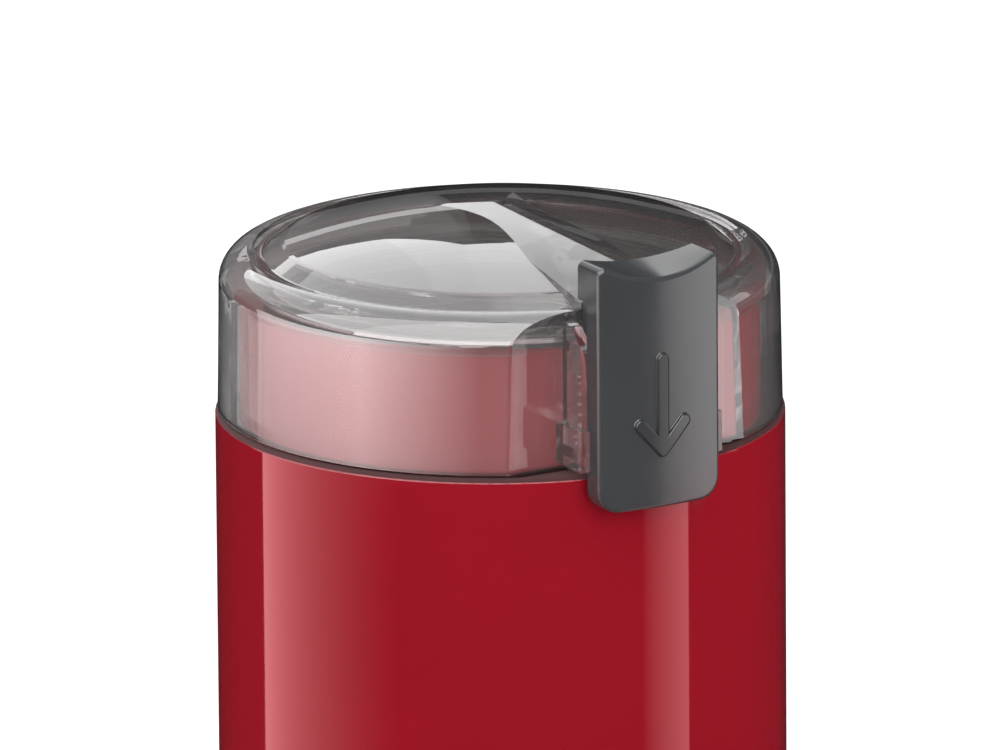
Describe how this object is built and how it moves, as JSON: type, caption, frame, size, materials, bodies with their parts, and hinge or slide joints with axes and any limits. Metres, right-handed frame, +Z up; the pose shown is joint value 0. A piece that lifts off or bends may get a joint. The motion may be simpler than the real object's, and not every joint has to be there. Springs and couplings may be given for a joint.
{
  "type": "electric coffee grinder",
  "caption": "Blade coffee grinder: upright red cylinder with a smoked clear lift-off lid whose sliding grey push button works a switch that runs the motor and blade.",
  "frame": {"origin": "on the motor's axis, on the plane the foot ring stands on", "axes": "+Z up along the motor's axis, the push button faces -Y, +X to the right as seen from the button"},
  "size_m": [0.09, 0.0965, 0.1756],
  "materials": {
    "red_shell": "gloss",
    "smoked_clear": "clear gloss",
    "button_grey": "satin",
    "spring_steel": "satin",
    "cup_steel": "brushed",
    "blade_steel": "polished",
    "screw_steel": "zinc plated",
    "shaft_steel": "ground",
    "lamination": "stacked sheet",
    "copper_wire": "lacquered",
    "copper_bar": "turned",
    "bronze": "sintered",
    "brass": "drawn",
    "bracket_alloy": "cast",
    "carbon": "matt",
    "insulator": "matt",
    "inner_plastic": "matt",
    "switch_plastic": "matt",
    "rod_plastic": "matt",
    "rubber_black": "matt",
    "base_grey": "fine grain",
    "capacitor_yellow": "satin"
  },
  "bodies": {
    "housing": {"housing": "red_shell", "grinding_cup": "cup_steel", "cup_gasket": "rubber_black", "shaft_seal": "rubber_black", "stator_core": "lamination", "field_coils": "copper_wire", "top_bracket": "bracket_alloy", "bottom_bracket": "bracket_alloy", "top_bearing": "bronze", "bottom_bearing": "bronze", "motor_screws": "screw_steel", "motor_dampers": "rubber_black", "brush_plate": "insulator", "brush_holders": "brass", "carbon_brushes": "carbon", "brush_springs": "spring_steel", "motor_deck": "inner_plastic", "deck_screws": "screw_steel", "rod_spring": "spring_steel", "switch_body": "switch_plastic", "switch_terminals": "brass", "switch_screws": "screw_steel", "suppression_capacitor": "capacitor_yellow", "base_cover": "base_grey", "base_screws": "screw_steel", "foot_ring": "rubber_black", "cord_gland": "rubber_black"},
    "lid": {"lid": "smoked_clear", "button_springs": "spring_steel"},
    "button": {"push_button": "button_grey"},
    "switch_rod": {"switch_rod": "rod_plastic", "switch_plunger": "switch_plastic"},
    "rotor": {"motor_shaft": "shaft_steel", "armature_core": "lamination", "armature_windings": "copper_wire", "commutator": "copper_bar", "blade_hub": "inner_plastic", "grinding_blade": "blade_steel", "blade_nut": "blade_steel"}
  },
  "joints": [
    {"name": "lid_lift", "type": "slide", "parent": "housing", "child": "lid", "axis": [0, 0, 1], "range_m": [0, 0.06]},
    {"name": "button_press", "type": "slide", "parent": "lid", "child": "button", "axis": [0, 0, -1], "range_m": [0, 0.004], "stiffness_N_per_m": 600, "springref_m": -0.002, "deforming": ["button_springs"]},
    {"name": "rod_press", "type": "slide", "parent": "housing", "child": "switch_rod", "axis": [0, 0, -1], "range_m": [0, 0.004], "deforming": ["rod_spring"]},
    {"name": "rotor_spin", "type": "hinge", "parent": "housing", "child": "rotor", "pos_m": [0, 0, 0.07], "axis": [0, 0, 1], "continuous": true}
  ],
  "couplings": [
    {"joint": "rod_press", "follows": "button_press", "ratio": 1}
  ]
}
